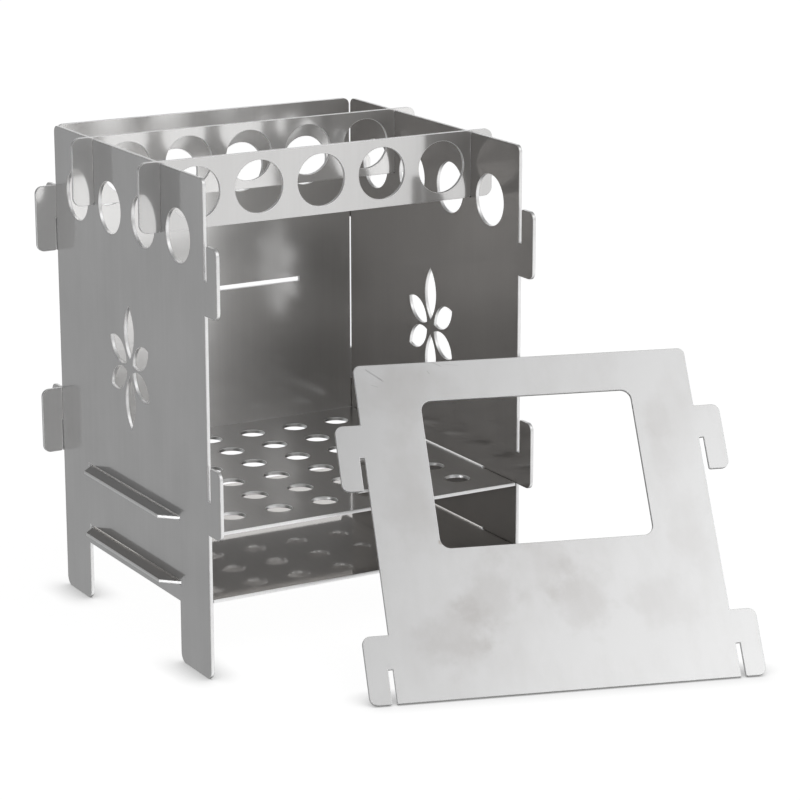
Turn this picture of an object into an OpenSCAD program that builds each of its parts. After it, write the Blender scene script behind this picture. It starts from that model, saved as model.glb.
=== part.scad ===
// Pocket stove: eight flat pieces cut from one gauge of stainless sheet, which slot together into
// an open box with a fire grate, an ash plate and two pot bars. The front panel is off its hooks
// and leans on the box. +Z is up, +Y points to the back of the box, and +X to its right.

/* [Sheet] */
// Thickness of the sheet that every piece is cut from
sheet_t = 1; // [0.8:0.1:1.5]
// Clearance on each side of a sheet that stands in a slot
fit_gap = 0.2; // [0.15:0.05:0.4]

/* [Box] */
// Inside width, between the two side panels
box_w = 98; // [92:1:120]
// Depth of a side panel from front edge to back edge
box_d = 98; // [96:1:120]
// Height of a side panel from the ground to its top edge
side_h = 141; // [136:1:160]
// Rounding of the top corners of the four panels
corner_r = 2; // [1:0.5:3]

/* [Legs] */
// Height of the arch between the legs
arch_h = 17.8; // [12:0.2:20]
// Width of a front leg
front_leg_w = 19; // [14:0.5:22]
// Width of a back leg
back_leg_w = 17.5; // [14:0.5:22]
// Rounding of the feet
foot_r = 2.8; // [1:0.2:4]

/* [Hooks] */
// Height of a hook
hook_h = 19.5; // [14:0.5:24]
// Reach of a hook past the edge that carries it
hook_reach = 7.5; // [6:0.5:10]
// Rounding of the outer corners of a hook
hook_r = 2.3; // [1:0.1:3]
// Height of the lower edge of the lower hooks above the ground
low_hook_z = 42.1; // [40:0.5:50]
// Distance from the lower hooks up to the upper hooks
hook_pitch = 61.5; // [50:0.5:70]

/* [Plates] */
// Height of the underside of the fire grate above the ground
grate_z = 41.4; // [34:0.2:48]
// Height of the underside of the ash plate above the ground
ash_z = 22.4; // [20:0.2:30]
// Width of a tab where it leaves the plate
tab_w = 60.5; // [40:0.5:64]
// Length of a tab
tab_l = 5.3; // [3:0.1:8]
// Slope of the two ends of a tab
tab_slope = 45; // [20:1:50]
// Clearance at each end of a tab in its slot
tab_end_gap = 0.5; // [0.3:0.1:1.5]
// Diameter of the holes in the fire grate
grate_hole_d = 7.4; // [4:0.2:9]
// Distance between the holes in the fire grate
grate_pitch = 14.6; // [12:0.2:15]
// Number of holes along each side of the fire grate
grate_holes = 6; // [3:1:6]

/* [Pot bars] */
// Height of a pot bar
bar_h = 19.7; // [16:0.5:24]
// Reach of a pot bar past the outer face of a side panel
bar_end = 6.3; // [4:0.1:9]
// Rounding of the ends of a pot bar
bar_r = 2.6; // [1:0.2:4]
// Depth of the notch that seats a pot bar on its slot
bar_notch = 0.6; // [0.4:0.1:2]
// Height of a seated pot bar above the top edges of the side panels
bar_proud = 0.5; // [0:0.1:2]
// Number of holes in a pot bar
bar_holes = 5; // [2:1:5]
// Distance between the holes in a pot bar
bar_pitch = 19.6; // [17:0.2:21]
// Diameter of the round vents in the pot bars and in the three standing panels
vent_d = 15; // [8:0.5:16]

/* [Vents] */
// Distance from the centres of the outer round vents to the side edges of their panel
vent_margin = 15.7; // [12:0.1:18]
// Depth of the centres of the round vents below the top edge
vent_drop = 18.1; // [12:0.1:24]
// Height of the centre of the star vent above the ground
star_z = 78.5; // [70:0.5:84]
// Reach of the upright petals of the star vent
petal_l = 18; // [12:0.5:20]
// Widest part of a petal
petal_w = 6.4; // [3:0.2:8]
// Distance from the star's centre to where its petals start
star_hub = 2.4; // [1.5:0.1:4]

/* [Front and back panels] */
// Width of the fuel window in the front panel
window_w = 61.5; // [40:0.5:70]
// Height of the fuel window
window_h = 44; // [30:0.5:46]
// Height of the strip above the fuel window
window_rail = 11.8; // [6:0.1:16]
// Rounding of the window's corners
window_r = 3; // [1:0.5:6]

/* [Leaning front panel] */
// Angle between the leaning panel and an upright one
lean = 36.5; // [20:0.5:45]
// Turn of the leaning panel away from the front of the box
lean_turn = 17.5; // [0:0.5:25]
// Distance from the panel's middle to where it touches the box
lean_offset = 0.5; // [-10:0.5:10]
// Gap left where the panel touches the box
lean_gap = 0.05; // [0.05:0.05:0.5]

/* [Hidden] */
$fn = 96;

// Every cut runs this far past the sheet that it goes through
cut = sheet_t;
// Width of a slot that takes a sheet edge on
slot_w = sheet_t + 2 * fit_gap;
// Rounding at the mouth of an open slot
mouth_r = 0.6 * sheet_t;

// The hooks of a side panel and of a crossing panel share their heights and meet halfway up
hook_z = [low_hook_z, low_hook_z + hook_pitch];
hook_slot_h = hook_h / 2;

// A front or back panel hangs between the side panels from the lower hooks up to the top edges
panel_w = box_w - 2 * fit_gap;
panel_h = side_h - low_hook_z;
panel_hook_z = [for (z = hook_z) z - low_hook_z];
back_y = box_d / 2 + fit_gap;

// The window's lower edge, which the level slot of the back panel lines up with
window_up = panel_h - window_rail - window_h;

// A plate fills the box, with its tabs through level slots in the side panels
plate_w = box_w - 2 * fit_gap;
plate_d = box_d - 2 * fit_gap;
tab_tip_w = tab_w - 2 * tab_l * tan(tab_slope);
plate_slot_w = tab_w + 2 * tab_end_gap;

// A pot bar stands in a slot that is open at the top of each side panel
bar_z = side_h + bar_proud - bar_h;
bar_slot_z = bar_z + bar_notch;
bar_l = box_w + 2 * sheet_t + 2 * bar_end;

// The side panels and the back panel have four round vents in a row, spaced over their width, and
// each pot bar stands midway between the outer two of a side panel
vent_steps = [-1.5, -0.5, 0.5, 1.5];
function vent_pitch(width) = (width - 2 * vent_margin) / (len(vent_steps) - 1);
bar_y = vent_pitch(box_d) * (vent_steps[2] + vent_steps[3]) / 2;

// Lengths of the star vent's petals, clockwise from the top, as shares of the upright ones
petal_shares = [1, 0.8, 0.8, 1, 0.8, 0.8];

// The leaning panel stands on its lower edge, and its top edge rests on the inner front corner of
// the right panel, or on the lower hook there when it isn't long enough to reach past it
lean_x = box_w / 2;
lean_y = -box_d / 2;
rest_z = panel_h * cos(lean);
hook_stand_off = min(rest_z, low_hook_z + hook_h) * tan(lean) + hook_reach * cos(lean_turn);
lean_back = max(rest_z * tan(lean), hook_stand_off) + sheet_t * cos(lean) + lean_gap;
lean_lift = sheet_t * sin(lean);

// The origin is under the middle of everything, box and leaning panel together
tip = panel_w / 2 + hook_reach;
foot_x = lean_x + lean_offset * cos(lean_turn) - lean_back * sin(lean_turn);
foot_y = lean_y - lean_offset * sin(lean_turn) - lean_back * cos(lean_turn);
high_hook_top = hook_h + hook_pitch;
right_x = foot_x + tip * cos(lean_turn) + high_hook_top * sin(lean) * sin(lean_turn);
front_y = foot_y - tip * sin(lean_turn);
middle_x = (right_x - bar_l / 2) / 2;
middle_y = (front_y + box_d / 2 + hook_reach) / 2;

// Rectangle from a corner, with one radius at all four corners
module rounded(size, r) {
    translate([r, 0]) square([size[0] - 2 * r, size[1]]);
    translate([0, r]) square([size[0], size[1] - 2 * r]);
    for (x = [r, size[0] - r], y = [r, size[1] - r]) translate([x, y]) circle(r);
}

// Hook that reaches to +x from x = 0 and starts at height z
module hook(z) {
    translate([-2 * hook_r, z]) rounded([hook_reach + 2 * hook_r, hook_h], hook_r);
}

// Slot of half a hook's height, open towards up = 1 or up = -1, with a rounded mouth
module hook_slot(z, up) {
    mouth = up > 0 ? z + hook_h : z;
    translate([0, up > 0 ? z + hook_slot_h : mouth - cut]) square([slot_w, hook_slot_h + cut]);
    slot_mouth(slot_w, mouth, up);
}

// Flare that rounds off the outer corner of a slot's mouth
module slot_mouth(x, y, up) {
    difference() {
        translate([x - cut / 2, y - (up > 0 ? mouth_r : 0)]) square([mouth_r + cut / 2, mouth_r]);
        translate([x + mouth_r, y - up * mouth_r]) circle(mouth_r);
    }
}

// Body of a front or back panel, its lower edge at y = 0, with four hooks that open downwards
module hooked_panel() {
    difference() {
        union() {
            translate([-panel_w / 2, 0]) rounded([panel_w, panel_h], corner_r);
            translate([-panel_w / 2, 0]) square([panel_w, panel_h / 2]);
            for (side = [0, 1], z = panel_hook_z) mirror([side, 0]) translate([panel_w / 2, 0]) hook(z);
        }
        for (side = [0, 1], z = panel_hook_z) mirror([side, 0]) translate([panel_w / 2, 0]) hook_slot(z, -1);
    }
}

// Outline of a side panel, with its front at negative x and the ground at y = 0
module side_outline() {
    translate([-box_d / 2, arch_h]) rounded([box_d, side_h - arch_h], corner_r);
    translate([-box_d / 2, arch_h]) square([box_d, side_h / 2]);
    translate([-box_d / 2, 0]) rounded([front_leg_w, arch_h + 2 * foot_r], foot_r);
    translate([box_d / 2 - back_leg_w, 0]) rounded([back_leg_w, arch_h + 2 * foot_r], foot_r);
    for (side = [0, 1], z = hook_z) mirror([side, 0]) translate([box_d / 2, 0]) hook(z);
}

// Leaf shape that points up from the star's hub, the overlap of two circles
module petal(reach) {
    long = reach - star_hub;
    bow = (pow(long / 2, 2) + pow(petal_w / 2, 2)) / petal_w;
    translate([0, star_hub + long / 2])
        intersection_for (side = [-1, 1]) translate([side * (bow - petal_w / 2), 0]) circle(bow);
}

// Petals around one centre
module star_vent() {
    for (i = [0 : len(petal_shares) - 1])
        rotate(-360 / len(petal_shares) * i) petal(petal_l * petal_shares[i]);
}

// Row of round vents across a panel of a given width, with their centres at height z
module vent_row(width, z) {
    for (i = vent_steps) translate([i * vent_pitch(width), z]) circle(d = vent_d);
}

// Slot of a pot bar, open at the top edge, with both mouth corners rounded
module bar_slot() {
    translate([-slot_w / 2, bar_slot_z]) square([slot_w, side_h - bar_slot_z + cut]);
    for (side = [0, 1]) mirror([side, 0]) slot_mouth(slot_w / 2, side_h, 1);
}

// Level slot of a plate's tab, with its lower edge at height z
module plate_slot(z) {
    translate([-plate_slot_w / 2, z]) square([plate_slot_w, slot_w]);
}

// Flat shape of a side panel with all its cuts
module side_shape() {
    difference() {
        side_outline();
        for (side = [0, 1], z = hook_z) mirror([side, 0]) translate([box_d / 2, 0]) hook_slot(z, 1);
        for (y = [-bar_y, bar_y]) translate([y, 0]) bar_slot();
        vent_row(box_d, side_h - vent_drop);
        for (z = [grate_z, ash_z]) plate_slot(z);
        translate([0, star_z]) star_vent();
    }
}

// Side panel that stands with its inner face at distance box_w / 2 from the middle
module side_panel(side) {
    color("silver") at_origin()
        translate([side > 0 ? box_w / 2 : -box_w / 2 - sheet_t, 0, 0])
        rotate([90, 0, 90]) linear_extrude(sheet_t) side_shape();
}

// Flat shape of a plate with a sloping tab on each side
module plate_shape() {
    right_edge = [[plate_w / 2, -plate_d / 2], [plate_w / 2, -tab_w / 2],
        [plate_w / 2 + tab_l, -tab_tip_w / 2], [plate_w / 2 + tab_l, tab_tip_w / 2],
        [plate_w / 2, tab_w / 2], [plate_w / 2, plate_d / 2]];
    polygon(concat(right_edge, [for (corner = right_edge) -corner]));
}

// Pot bar, centred, with its lower edge at y = 0
module bar_shape() {
    difference() {
        translate([-bar_l / 2, 0]) rounded([bar_l, bar_h], bar_r);
        for (side = [0, 1]) mirror([side, 0])
            translate([box_w / 2 - fit_gap, -cut]) square([slot_w, cut + bar_notch]);
        for (i = [0 : bar_holes - 1])
            translate([(i - (bar_holes - 1) / 2) * bar_pitch, bar_h / 2]) circle(d = vent_d);
    }
}

// Stands a flat shape up, with its thickness towards +Y from y
module upright(y, z) {
    translate([0, y + sheet_t, z]) rotate([90, 0, 0]) linear_extrude(sheet_t) children();
}

// Moves the stove so that the origin is under the middle of everything
module at_origin() {
    translate([-middle_x, -middle_y, 0]) children();
}

module left_panel() { side_panel(-1); }

module right_panel() { side_panel(1); }

module back_panel() {
    color("silver") at_origin() upright(back_y, low_hook_z)
        difference() {
            hooked_panel();
            vent_row(panel_w, panel_h - vent_drop);
            translate([0, window_up]) plate_slot(0);
        }
}

module front_panel() {
    color("gainsboro") at_origin()
        translate([foot_x, foot_y, lean_lift]) rotate([0, 0, -lean_turn]) rotate([-lean, 0, 0])
        upright(0, 0)
        difference() {
            hooked_panel();
            translate([-window_w / 2, window_up]) rounded([window_w, window_h], window_r);
        }
}

module fire_grate() {
    place_shares = [for (i = [0 : grate_holes - 1]) i - (grate_holes - 1) / 2];
    color("darkgray") at_origin() translate([0, 0, grate_z]) linear_extrude(sheet_t)
        difference() {
            plate_shape();
            for (i = place_shares, j = place_shares)
                translate([i * grate_pitch, j * grate_pitch]) circle(d = grate_hole_d);
        }
}

module ash_plate() {
    color("darkgray") at_origin() translate([0, 0, ash_z]) linear_extrude(sheet_t) plate_shape();
}

module pot_bar(y) {
    color("lightgray") at_origin() upright(y - sheet_t / 2, bar_z) bar_shape();
}

module front_pot_bar() { pot_bar(-bar_y); }

module rear_pot_bar() { pot_bar(bar_y); }

left_panel();
right_panel();
back_panel();
front_panel();
fire_grate();
ash_plate();
front_pot_bar();
rear_pot_bar();
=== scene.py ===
"""Pocket stove of slotted stainless sheet: finish of every piece, floor, light and camera."""
import math

import bpy
import numpy as np
from mathutils import Matrix, Vector
from mathutils.geometry import tessellate_polygon


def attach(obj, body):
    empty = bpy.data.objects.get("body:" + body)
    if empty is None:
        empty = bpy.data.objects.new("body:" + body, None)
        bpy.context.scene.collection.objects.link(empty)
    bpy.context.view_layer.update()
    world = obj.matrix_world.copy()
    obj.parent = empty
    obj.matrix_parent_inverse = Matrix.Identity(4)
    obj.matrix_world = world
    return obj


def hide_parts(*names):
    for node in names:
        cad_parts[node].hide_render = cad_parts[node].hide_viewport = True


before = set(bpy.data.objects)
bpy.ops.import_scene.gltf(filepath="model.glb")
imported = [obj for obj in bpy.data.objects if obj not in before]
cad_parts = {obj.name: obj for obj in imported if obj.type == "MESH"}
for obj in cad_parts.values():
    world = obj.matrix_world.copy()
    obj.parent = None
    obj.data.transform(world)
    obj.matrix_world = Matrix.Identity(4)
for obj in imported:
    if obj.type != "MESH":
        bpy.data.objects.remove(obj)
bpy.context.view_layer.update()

MM = 0.001

# Camera
CAMERA_PLACE = Vector((-0.4053, -0.6990, 0.2843))
CAMERA_YAW = 0.52289
CAMERA_PITCH = -0.26251
CAMERA_ROLL = -0.00103
CAMERA_LENS_MM = 131.18
CAMERA_SENSOR_MM = 36
CAMERA_CLIP_START = 10 * MM

# Sheet: rounds on its cut edges, and the angle above which two faces meet in a sharp edge
EDGE_RADIUS = 0.12 * MM
EDGE_STEPS = 3
SHARP_ANGLE = math.radians(35)
# Reading a sheet's solid: decimals of a metre within which corners are one point, how far from the
# front a triangle of the front face may lie, and the height of the normal above which the sheet is level
WELD_DIGITS = 6
FLAT_TOLERANCE = 0.01 * MM
LEVEL_NORMAL = 0.99

# Noises: feature size in millimetres along and across the rolling direction, detail, roughness
STREAK_NOISE = (60, 0.9, 4.0, 0.6)
BAND_NOISE = (90, 7, 2.0, 0.5)
CLOUD_NOISE = (26, 20, 3.0, 0.55)
WAVE_NOISE = (55, 45, 1.0, 0.5)
GRAIN_NOISE = (12, 0.35, 2.0, 0.5)
STRIA_NOISE = (2.5, 0.22, 2.0, 0.6)
PATCH_NOISE = (3.0, 5.0, 2.0, 0.6)
RAGGED_NOISE = (9, 9, 4.0, 0.6)
WISP_NOISE = (30, 14, 5.0, 0.62)

# Steel: share and roughness of the haze over the clear mirror, weights of the noises, depths of bumps
HAZE_SHARE = 0.35
HAZE_ROUGHNESS = 0.42
STREAK_TONE = 1.2
STREAK_ROUGHNESS = 0.6
CLOUD_ROUGHNESS = 0.06
WAVE_DEPTH = 0.01 * MM
GRAIN_DEPTH = 0.0002 * MM

# Cut edge: tone, roughness, weights of the noises, depth of the striations
# The cut edge's tone is brighter than the face steel: partly its own colour, partly a painted highlight.
CUT_LEVEL_WITH_HIGHLIGHT = 0.93
CUT_ROUGHNESS = 0.38
STRIA_TONE = 0.25
PATCH_TONE = 0.2
STRIA_DEPTH = 0.02 * MM

# Marks on the front panel, in millimetres from the middle of its lower edge
# Stains: middle, half sizes, turn in degrees, depth of tone
STAINS = [
    ((-18.0, 29.0), (9.0, 13.0), -15, 0.09),
    ((-30.0, 18.0), (11.0, 9.0), 30, 0.10),
    ((-27.0, 12.0), (6.0, 7.0), 0, 0.05),
    ((0.0, 36.0), (7.0, 10.0), 20, 0.05),
    ((7.0, 26.0), (9.0, 12.0), 10, 0.10),
    ((30.0, 23.0), (13.0, 8.0), 0, 0.05),
    ((38.0, 78.0), (5.0, 9.0), 0, 0.045),
    ((36.0, 68.0), (4.0, 8.0), 0, 0.04),
    ((-38.0, 62.0), (7.0, 20.0), 0, 0.05),
    ((-34.0, 90.0), (16.0, 9.0), 0, 0.05),
    ((-8.0, 46.0), (20.0, 5.0), 0, 0.04),
    ((40.0, 46.0), (6.0, 14.0), 0, 0.04),
]
# Scratches: two ends, half width, depth of tone
SCRATCHES = [
    ((-45.4, 97.7), (-40.5, 93.7), 0.10, 0.42),
    ((-44.6, 93.0), (-42.1, 92.0), 0.07, 0.20),
    ((-26.1, 98.8), (-23.1, 97.2), 0.08, 0.22),
    ((-23.6, 98.2), (-18.1, 97.3), 0.06, 0.16),
    ((-27.7, 96.4), (-26.9, 95.0), 0.12, 0.20),
]
# Brown spot at the window's lower left corner
BURN_PLACE = (-30.7, 45.0)
BURN_RADIUS = 0.9
BURN_COLOUR = (0.30, 0.24, 0.18, 1)
BURN_SHARE = 0.5
# A stain fades between these shares of its half size, and its edge is ragged by this much
STAIN_FADE = (0.35, 1.25)
STAIN_RAGGED = 2.0
# Wisps of stain between the ovals: the noise that leaves none, and their depth of tone
WISP_NONE = 0.45
WISP_DEPTH = 0.22
# What the full tint leaves of the steel's colour, and the tint and roughness that a depth of tone brings
STAIN_TINT = (0.79, 0.77, 0.755)
TINT_PER_DEPTH = 5
ROUGHNESS_PER_STAIN = 0.2
ROUGHNESS_PER_SCRATCH = 0.5
# A scratch fades between these shares of its half width, and over this length at its ends
SCRATCH_FADE = (0.6, 1.6)
SCRATCH_TAPER = 0.5
MARK_SEED = 31.0

# Studio: light level of each eighth of the surroundings, by the signs of x, y and z
STUDIO_LEVELS = {
    "-+-": 0.42, "-++": 0.20, "---": 0.38, "--+": 0.25,
    "+--": 0.97, "+-+": 0.55, "++-": 0.12, "+++": 0.22,
}
# Half widths of the soft borders between the eighths, across x, y and z
STUDIO_BLEND = (0.25, 0.4, 0.12)
# Heights, on the unit sphere, between which the white backdrop starts and ends
BACKDROP_FOOT = (-0.12, 0.02)
BACKDROP_TOP = (0.35, 0.55)
# Wide light above in front: its direction, the cosines and heights between which it grows, its level
GLOW_TOWARD = Vector((0.35, -0.80, 0.49)).normalized()
GLOW_REACH = (0.80, 0.97)
GLOW_HEIGHT = (0.30, 0.62)
GLOW_LEVEL = 1.05
# Small light low on the left, which lights the sloping ends of the tabs
SPARK_TOWARD = Vector((-0.90, -0.34, -0.26)).normalized()
SPARK_REACH = (0.965, 0.99)
SPARK_LEVEL = 2.4
# Soft lamp
KEY_PLACE = Vector((-0.75, -0.90, 0.75))
KEY_TARGET = Vector((0, 0, 0.05))
KEY_SIZE = 0.35
KEY_RADIANCE = 2.0

# Floor: form, tone, and how much of it the camera sees as plain white
FLOOR_RADIUS = 3.0
FLOOR_SEGMENTS = 128
FLOOR_LEVEL = 0.85
FLOOR_WHITE_SHARE = 0.72
FLOOR_WHITE_LEVEL = 1.3
# Contact shadow: tone in the corner under the stove, reach and samples
CONTACT_LEVEL = 0.05
CONTACT_REACH = 10 * MM
CONTACT_SAMPLES = 8


class Wire:
    """A shader socket that Python's operators work on, each adding one Math node."""

    def __init__(self, maker, socket):
        self.maker = maker
        self.socket = socket

    def _math(self, operation, *inputs):
        return self.maker.node("ShaderNodeMath", {"operation": operation}, *inputs)

    def __add__(self, other):
        return self._math("ADD", self, other)

    def __sub__(self, other):
        return self._math("SUBTRACT", self, other)

    def __rsub__(self, other):
        return self._math("SUBTRACT", other, self)

    def __mul__(self, other):
        return self._math("MULTIPLY", self, other)

    __radd__ = __add__
    __rmul__ = __mul__

    def maximum(self, other):
        return self._math("MAXIMUM", self, other)

    def step(self, low, high):
        """0 below low and 1 above high, with a smooth rise between."""
        settings = {"interpolation_type": "SMOOTHSTEP"}
        return self.maker.node("ShaderNodeMapRange", settings, self, low, high)


class Maker:
    """Adds nodes to one node tree, and wires their sockets."""

    def __init__(self, tree):
        self.tree = tree
        tree.nodes.clear()

    def node(self, kind, settings=None, *inputs, output=0, **named):
        """One node of a type: its settings first, then its sockets by order or by name."""
        made = self.tree.nodes.new(kind)
        for key, value in (settings or {}).items():
            setattr(made, key, value)
        for key, value in [*enumerate(inputs), *named.items()]:
            socket = made.inputs[key if isinstance(key, int) else key.replace("_", " ")]
            if isinstance(value, Wire):
                self.tree.links.new(value.socket, socket)
            elif value is not None:
                socket.default_value = value
        return Wire(self, made.outputs[output]) if made.outputs else None

    def vector(self, operation, *inputs, output=0):
        return self.node("ShaderNodeVectorMath", {"operation": operation}, *inputs, output=output)

    def mix(self, factor, first, second):
        """Blend of two colours, which are the node's seventh and eighth sockets."""
        settings = {"data_type": "RGBA"}
        return self.node("ShaderNodeMix", settings, factor, *[None] * 5, first, second, output=2)


def grey(level, warm=0.0):
    """A colour of one level, a little warmer or cooler."""
    return (level * (1 + warm), level, level * (1 - warm), 1)


def new_material(name):
    """An empty material, and the maker of its nodes."""
    material = bpy.data.materials.new(name)
    material.use_nodes = True
    return material, Maker(material.node_tree)


def add_object(name, data):
    """A new object in the scene."""
    made = bpy.data.objects.new(name, data)
    bpy.context.scene.collection.objects.link(made)
    return made


def metal(m, colour, roughness, normal):
    """Bare metal of one colour and roughness."""
    return m.node("ShaderNodeBsdfPrincipled", None, Base_Color=colour, Metallic=1.0,
                  Roughness=roughness, Normal=normal)


def sheet_uv(m):
    """The sheet's own UV, in millimetres."""
    return m.node("ShaderNodeUVMap", {"uv_map": "Sheet"})


def sheet_noise(m, form, seed):
    """Noise from 0 to 1 over the sheet's UV, which is divided by the size of the noise's features."""
    along, across, detail, roughness = form
    shift = (seed, seed * 1.7, seed)
    place = m.node("ShaderNodeMapping", None, sheet_uv(m), shift, None, (1 / across, 1 / along, 1))
    return m.node("ShaderNodeTexNoise", None, place, None, 1.0, detail, roughness)


def rolled_steel(name, seed, level=0.70, warm=0.008, streaks=0.07, clouds=0.05, gloss=0.10, marks=None):
    """Cold-rolled stainless: a half mirror with fine rolling streaks, faint clouds and a slight wave."""
    material, m = new_material(name)
    streak = sheet_noise(m, STREAK_NOISE, seed)
    band = sheet_noise(m, BAND_NOISE, seed + 3)
    cloud = sheet_noise(m, CLOUD_NOISE, seed + 5)
    tone = 1 + ((streak - 0.5) * STREAK_TONE + (band - 0.5)) * streaks + (cloud - 0.5) * (2 * clouds)
    roughness = gloss + (streak - 0.5) * (streaks * STREAK_ROUGHNESS) + (cloud - 0.5) * CLOUD_ROUGHNESS
    colour = m.vector("SCALE", grey(level, warm)[:3], None, None, tone)
    if marks:
        colour, roughness = marks(m, colour, roughness)
    wave = sheet_noise(m, WAVE_NOISE, seed + 9)
    grain = sheet_noise(m, GRAIN_NOISE, seed + 11)
    waved = m.node("ShaderNodeBump", None, Distance=WAVE_DEPTH, Height=wave)
    normal = m.node("ShaderNodeBump", None, Distance=GRAIN_DEPTH, Height=grain, Normal=waved)
    clear = metal(m, colour, roughness, normal)
    hazy = metal(m, colour, HAZE_ROUGHNESS, normal)
    steel = m.node("ShaderNodeMixShader", None, HAZE_SHARE, clear, hazy)
    m.node("ShaderNodeOutputMaterial", None, steel)
    return material


def stain(m, place, ragged, middle, half, turn):
    """A soft-edged oval of 1 on 0, its edge pushed in and out by the ragged noise."""
    settings = {"vector_type": "TEXTURE"}
    angle = (0, 0, math.radians(turn))
    mapped = m.node("ShaderNodeMapping", settings, place, (*middle, 0), angle, (*half, 1))
    away = m.vector("LENGTH", mapped, output="Value") + (ragged - 0.5) * STAIN_RAGGED
    return 1 - away.step(*STAIN_FADE)


def scratch(m, place, start, end, half_width):
    """A straight fine line of 1 on 0 from start to end."""
    x, y = (m.node("ShaderNodeSeparateXYZ", None, place, output=axis) for axis in range(2))
    run = (end[0] - start[0], end[1] - start[1])
    length = math.hypot(*run)
    ahead, aside = (run[0] / length, run[1] / length), (-run[1] / length, run[0] / length)
    along = (x - start[0]) * ahead[0] + (y - start[1]) * ahead[1]
    across = (x - start[0]) * aside[0] + (y - start[1]) * aside[1]
    line = 1 - across.maximum(across * -1.0).step(*(half_width * share for share in SCRATCH_FADE))
    return line * along.step(0, SCRATCH_TAPER) * (1 - along.step(length - SCRATCH_TAPER, length))


def front_panel_marks(m, colour, roughness):
    """The front panel's warm stains, fine scratches and one brown spot."""
    place = sheet_uv(m)
    ragged = sheet_noise(m, RAGGED_NOISE, MARK_SEED)
    wisps = sheet_noise(m, WISP_NOISE, MARK_SEED + 6)
    stained = (wisps - WISP_NONE) * WISP_DEPTH
    for middle, half, turn, depth in STAINS:
        stained = stain(m, place, ragged, middle, half, turn) * depth + stained
    scratched = 0
    for start, end, half_width, depth in SCRATCHES:
        scratched = scratch(m, place, start, end, half_width) * depth + scratched
    burn = stain(m, place, ragged, BURN_PLACE, (BURN_RADIUS, BURN_RADIUS), 0)
    tinted = m.vector("MULTIPLY", colour, STAIN_TINT)
    colour = m.mix(stained * TINT_PER_DEPTH, colour, tinted)
    colour = m.vector("SCALE", colour, None, None, 1 - scratched)
    colour = m.mix(burn * BURN_SHARE, colour, BURN_COLOUR)
    return colour, roughness + stained * ROUGHNESS_PER_STAIN + scratched * ROUGHNESS_PER_SCRATCH


def cut_steel(name, seed):
    """The laser-cut edge of the sheet: matt, with fine striations across its thickness, and brighter
    than the faces' steel, partly its own tone and partly a painted highlight of the light the edges
    catch.
    """
    material, m = new_material(name)
    striae = sheet_noise(m, STRIA_NOISE, seed)
    patches = sheet_noise(m, PATCH_NOISE, seed + 2)
    tone = 1 + (striae - 0.5) * STRIA_TONE + (patches - 0.5) * PATCH_TONE
    # The bright edge colour is partly a painted highlight.
    colour = m.vector("SCALE", grey(CUT_LEVEL_WITH_HIGHLIGHT)[:3], None, None, tone)
    normal = m.node("ShaderNodeBump", None, Distance=STRIA_DEPTH, Height=striae)
    m.node("ShaderNodeOutputMaterial", None, metal(m, colour, CUT_ROUGHNESS, normal))
    return material


def pale_floor():
    """A pale matt floor, mixed for the camera with white that darkens close under the stove."""
    material, m = new_material("pale_floor")
    seen = m.node("ShaderNodeLightPath", output="Is Camera Ray")
    settings = {"samples": CONTACT_SAMPLES}
    open_sky = m.node("ShaderNodeAmbientOcclusion", settings, None, CONTACT_REACH, output="AO")
    diffuse = m.node("ShaderNodeBsdfDiffuse", None, grey(FLOOR_LEVEL))
    shadowed = m.mix(open_sky, grey(CONTACT_LEVEL), grey(1.0))
    white = m.node("ShaderNodeEmission", None, shadowed, FLOOR_WHITE_LEVEL)
    surface = m.node("ShaderNodeMixShader", None, seen * FLOOR_WHITE_SHARE, diffuse, white)
    m.node("ShaderNodeOutputMaterial", None, surface)
    return material


def sheet_axes(area_vectors):
    """Across, up and outward directions of a flat sheet, from the normal of its largest triangle."""
    largest = area_vectors[np.argmax(np.linalg.norm(area_vectors, axis=1))]
    outward = largest / np.linalg.norm(largest)
    level = abs(outward[2]) > LEVEL_NORMAL
    up = np.array((0.0, 1.0, 0.0) if level else (0.0, 0.0, 1.0))
    up = up - outward * (up @ outward)
    up = up / np.linalg.norm(up)
    return np.cross(up, outward), up, outward


def sheet_loops(node):
    """The loops that bound a sheet's front face, in the sheet's own axes, with the metal on the left."""
    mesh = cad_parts[node].data
    corners = np.empty(len(mesh.vertices) * 3)
    mesh.vertices.foreach_get("co", corners)
    triangles = np.empty(len(mesh.polygons) * 3, int)
    mesh.polygons.foreach_get("vertices", triangles)
    rounded = np.round(corners.reshape(-1, 3), WELD_DIGITS)
    points, welded = np.unique(rounded, axis=0, return_inverse=True)
    triangles = welded.reshape(-1)[triangles].reshape(-1, 3)
    a, b, c = (points[triangles[:, i]] for i in range(3))
    area_vectors = np.cross(b - a, c - a)
    axes = np.array(sheet_axes(area_vectors))
    local = points @ axes.T
    front = local[:, 2].max()
    flat = triangles[(local[triangles, 2] > front - FLAT_TOLERANCE).all(axis=1)]
    edges = np.concatenate([flat[:, [0, 1]], flat[:, [1, 2]], flat[:, [2, 0]]])
    inner = {(q, p) for p, q in edges.tolist()}
    following = {p: q for p, q in edges.tolist() if (p, q) not in inner}
    loops = []
    while following:
        start, point = following.popitem()
        loop = [start]
        while point != start:
            loop.append(point)
            point = following.pop(point)
        loops.append(local[loop, :2])
    thickness = front - local[:, 2].min()
    return loops, axes, front, thickness


def turned_left(vectors):
    """Each flat vector turned a quarter turn to the left."""
    return np.stack([-vectors[:, 1], vectors[:, 0]], axis=1)


def edge_profile(thickness):
    """How far in from the outline and how deep below the face each row of a cut edge lies.

    The rows follow a quarter round from the front face to the edge, and another to the back face.
    """
    turn = np.linspace(0, math.pi / 2, EDGE_STEPS + 1)
    inset = EDGE_RADIUS * (1 - np.sin(turn))
    depth = EDGE_RADIUS * (1 - np.cos(turn))
    return np.concatenate([inset, inset[::-1]]), np.concatenate([depth, thickness - depth[::-1]])


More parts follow.
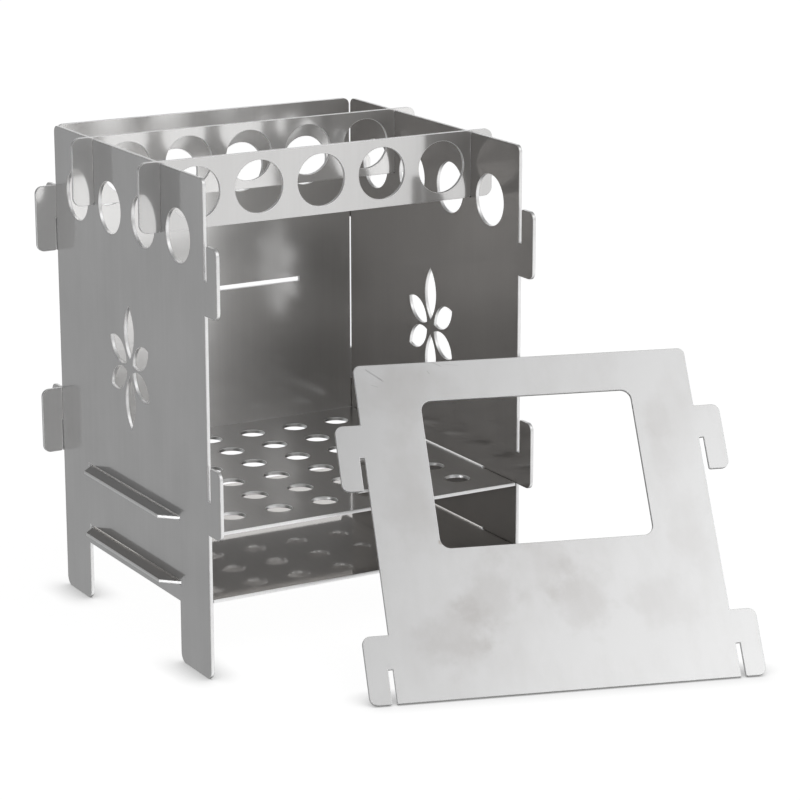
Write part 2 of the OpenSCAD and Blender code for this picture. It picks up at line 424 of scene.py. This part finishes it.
def swept_edge(loop, inset, depth):
    """The edge profile carried round one loop and mitred at its corners.

    Returns the rows of points, and how far along the loop each of its corners lies.
    """
    ahead = np.roll(loop, -1, axis=0) - loop
    length = np.linalg.norm(ahead, axis=1)
    ahead = ahead / length[:, None]
    inward = turned_left(ahead)
    before = np.roll(inward, 1, axis=0)
    mitre = (inward + before) / (1 + (inward * before).sum(axis=1))[:, None]
    flat = loop[:, None, :] + mitre[:, None, :] * inset[None, :, None]
    below = np.broadcast_to(-depth[None, :, None], (*flat.shape[:2], 1))
    return np.concatenate([flat, below], axis=2), np.concatenate([[0], np.cumsum(length)])


def front_cap(flat, loops, rows):
    """Triangles that fill the front face between its loops, all facing out."""
    starts = np.cumsum([0, *[len(loop) for loop in loops]])
    rims = [[Vector((*flat[(start + k) * rows], 0)) for k in range(len(loop))]
            for start, loop in zip(starts, loops)]
    cap = np.array(tessellate_polygon(rims)) * rows
    side, other = flat[cap[:, 1]] - flat[cap[:, 0]], flat[cap[:, 2]] - flat[cap[:, 0]]
    turned = side[:, 0] * other[:, 1] - side[:, 1] * other[:, 0] < 0
    cap[turned] = cap[turned][:, ::-1]
    return cap


def edge_band(loop, inset, depth, first):
    """The cut edge round one loop: its points, numbered from first on, its quads and their UVs.

    A UV is how far along the loop a corner lies, and how deep below the front face.
    """
    rows = len(inset)
    grid, arc = swept_edge(loop, inset, depth)
    here = np.arange(len(loop))[:, None] * rows + np.arange(rows - 1)[None, :] + first
    there = np.roll(here, -1, axis=0)
    quads = np.stack([here, here + 1, there + 1, there], axis=-1)
    start, end, top, low = np.broadcast_arrays(
        arc[:-1, None], arc[1:, None], depth[None, :-1], depth[None, 1:])
    corners = [(start, top), (start, low), (end, low), (end, top)]
    uvs = np.stack([np.stack(pair, axis=-1) for pair in corners], axis=-2)
    return grid.reshape(-1, 3), quads.reshape(-1, 4), uvs.reshape(-1, 2)


def sheet_mesh(node, face, edge):
    """The mesh of a flat sheet: its faces are flat, and its cut edges have finely rounded corners."""
    loops, axes, front, thickness = sheet_loops(node)
    inset, depth = edge_profile(thickness)
    rows = len(inset)
    bands, first = [], 0
    for loop in loops:
        bands.append(edge_band(loop, inset, depth, first))
        first += len(loop) * rows
    points, quads, quad_uvs = (np.concatenate(parts) for parts in zip(*bands))
    flat = points[:, :2]
    cap = front_cap(flat, loops, rows)
    caps = np.concatenate([cap, cap[:, ::-1] + rows - 1])
    local = points + np.array((0, 0, front))
    mesh = bpy.data.meshes.new(node + "_sheet")
    mesh.from_pydata((local @ axes).tolist(), [], caps.tolist() + quads.tolist())
    middle = np.array(((flat[:, 0].min() + flat[:, 0].max()) / 2, flat[:, 1].min()))
    uvs = np.concatenate([(flat - middle)[caps.reshape(-1)], quad_uvs]) / MM
    mesh.uv_layers.new(name="Sheet").data.foreach_set("uv", uvs.astype(np.float32).reshape(-1))
    is_edge = np.arange(len(caps) + len(quads)) >= len(caps)
    mesh.polygons.foreach_set("material_index", is_edge.astype(np.int32))
    mesh.materials.append(face)
    mesh.materials.append(edge)
    mesh.update()
    mesh.set_sharp_from_angle(angle=SHARP_ANGLE)
    mesh.polygons.foreach_set("use_smooth", is_edge)
    return mesh


def sheet_piece(node, body, face, edge):
    """One sheet's piece, which rides its body in place of the plain solid."""
    piece = add_object(node + "_sheet", sheet_mesh(node, face, edge))
    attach(piece, body)
    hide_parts(node)


def make_pieces():
    """The eight sheets, each with its own patch of the same steel; some sheets' levels are set darker or
    lighter as painted shade and light.
    """
    edge = cut_steel("cut_edge", 4.0)
    front_look = {"warm": 0.0, "streaks": 0.0, "clouds": 0.03, "marks": front_panel_marks}
    sheets = [
        # Levels other than the steel's own 0.70 paint light and shade: the right panel darker and the
        # ash plate a little darker as painted shade, the back panel, fire grate and rear pot bar lighter
        # as painted light.
        ("left_panel", "box", 1.0, {"warm": 0.0, "clouds": 0.09}),
        ("right_panel", "box", 2.0, {"level": 0.385, "warm": 0.035, "gloss": 0.14}),
        ("back_panel", "back", 3.0, {"level": 0.93, "gloss": 0.17}),
        ("front_panel", "front", 14.0, front_look),
        ("fire_grate", "box", 5.0, {"level": 0.76, "gloss": 0.07}),
        ("ash_plate", "box", 6.0, {"level": 0.66, "warm": 0.03, "gloss": 0.035}),
        ("front_pot_bar", "front_bar", 7.0, {}),
        ("rear_pot_bar", "rear_bar", 8.0, {"level": 0.88}),
    ]
    for node, body, seed, look in sheets:
        sheet_piece(node, body, rolled_steel(node + "_steel", seed, **look), edge)


def make_floor():
    """A pale round floor that the camera sees as white, with the stove's soft shadow on it."""
    angles = np.linspace(0, 2 * math.pi, FLOOR_SEGMENTS, endpoint=False)
    rim = np.stack([np.cos(angles), np.sin(angles), np.zeros(FLOOR_SEGMENTS)], axis=1) * FLOOR_RADIUS
    mesh = bpy.data.meshes.new("floor")
    mesh.from_pydata(rim.tolist(), [], [list(range(FLOOR_SEGMENTS))])
    floor = add_object("floor", mesh)
    floor.visible_glossy = False
    mesh.materials.append(pale_floor())


def make_world():
    """A grey studio with a wide soft light above in front, and a small one low on the left.

    The camera sees white all round, and so do glossy and transmission rays behind the stove.
    """
    world = bpy.data.worlds.new("studio")
    bpy.context.scene.world = world
    world.use_nodes = True
    m = Maker(world.node_tree)
    place = m.node("ShaderNodeTexCoord", output="Generated")
    axes = [m.node("ShaderNodeSeparateXYZ", None, place, output=axis) for axis in range(3)]
    plus = [axis.step(-width, width) for axis, width in zip(axes, STUDIO_BLEND)]
    level = 0
    for signs, octant_level in STUDIO_LEVELS.items():
        share = 1
        for sign, toward in zip(signs, plus):
            share = (toward if sign == "+" else 1 - toward) * share
        level = share * octant_level + level
    glow = m.vector("DOT_PRODUCT", place, tuple(GLOW_TOWARD), output="Value").step(*GLOW_REACH)
    level = glow * axes[2].step(*GLOW_HEIGHT) * GLOW_LEVEL + level
    spark = m.vector("DOT_PRODUCT", place, tuple(SPARK_TOWARD), output="Value").step(*SPARK_REACH)
    level = spark * SPARK_LEVEL + level
    seen, glossy, through = (m.node("ShaderNodeLightPath", output=kind + " Ray")
                             for kind in ("Is Camera", "Is Glossy", "Is Transmission"))
    behind = plus[0] * plus[1] * axes[2].step(*BACKDROP_FOOT) * (1 - axes[2].step(*BACKDROP_TOP))
    white = seen.maximum(glossy.maximum(through) * behind)
    strength = white + (1 - white) * level
    background = m.node("ShaderNodeBackground", None, grey(1.0), strength)
    m.node("ShaderNodeOutputWorld", None, background)


def make_key_light():
    """A square soft lamp; its power is its radiance times pi times its area."""
    lamp = bpy.data.lights.new("key_light", "AREA")
    lamp.shape = "SQUARE"
    lamp.size = KEY_SIZE
    lamp.energy = KEY_RADIANCE * math.pi * KEY_SIZE ** 2
    holder = add_object("key_light", lamp)
    holder.location = KEY_PLACE
    holder.rotation_euler = (KEY_TARGET - KEY_PLACE).to_track_quat("-Z", "Y").to_euler()


def make_camera():
    """The camera at the photograph's place, with its long lens."""
    camera = bpy.data.cameras.new("camera")
    camera.lens = CAMERA_LENS_MM
    camera.sensor_width = CAMERA_SENSOR_MM
    camera.clip_start = CAMERA_CLIP_START
    holder = add_object("camera", camera)
    yaw = Matrix.Rotation(-CAMERA_YAW, 4, "Z")
    pitch = Matrix.Rotation(math.pi / 2 + CAMERA_PITCH, 4, "X")
    roll = Matrix.Rotation(CAMERA_ROLL, 4, "Z")
    holder.matrix_world = Matrix.Translation(CAMERA_PLACE) @ (yaw @ pitch @ roll)
    bpy.context.scene.camera = holder


make_camera()
make_world()
make_floor()
make_key_light()
make_pieces()

bpy.context.scene.view_settings.view_transform = "Standard"
